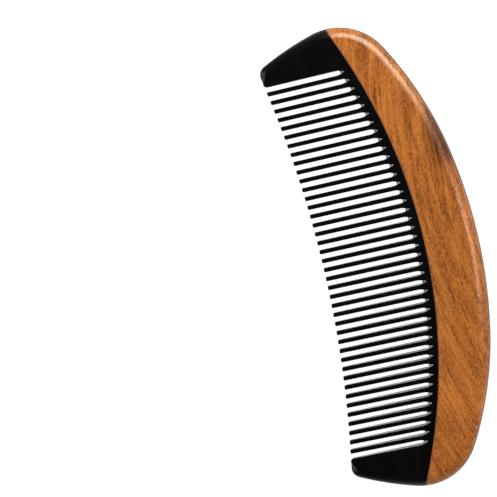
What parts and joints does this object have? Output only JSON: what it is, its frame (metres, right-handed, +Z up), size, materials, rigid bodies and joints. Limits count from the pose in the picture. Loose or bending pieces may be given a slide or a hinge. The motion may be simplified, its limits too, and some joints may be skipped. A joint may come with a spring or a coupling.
{
  "type": "beard comb",
  "caption": "Curved pocket beard comb: a dark horn plate with parallel teeth and end guards, let into a rounded wooden back.",
  "frame": {"origin": "centre of the comb's bounding box, on the flat face it lies on", "axes": "+X along the row of teeth, +Y from the tooth tips to the back, +Z up through the thickness"},
  "size_m": [0.1274, 0.0482, 0.0055],
  "materials": {
    "horn": "polished dark horn, nearly black",
    "wood": "warm orange-brown hardwood, sanded smooth and waxed"
  },
  "bodies": {
    "root": {"horn_tooth_plate": "horn", "wooden_back": "wood"}
  },
  "joints": []
}
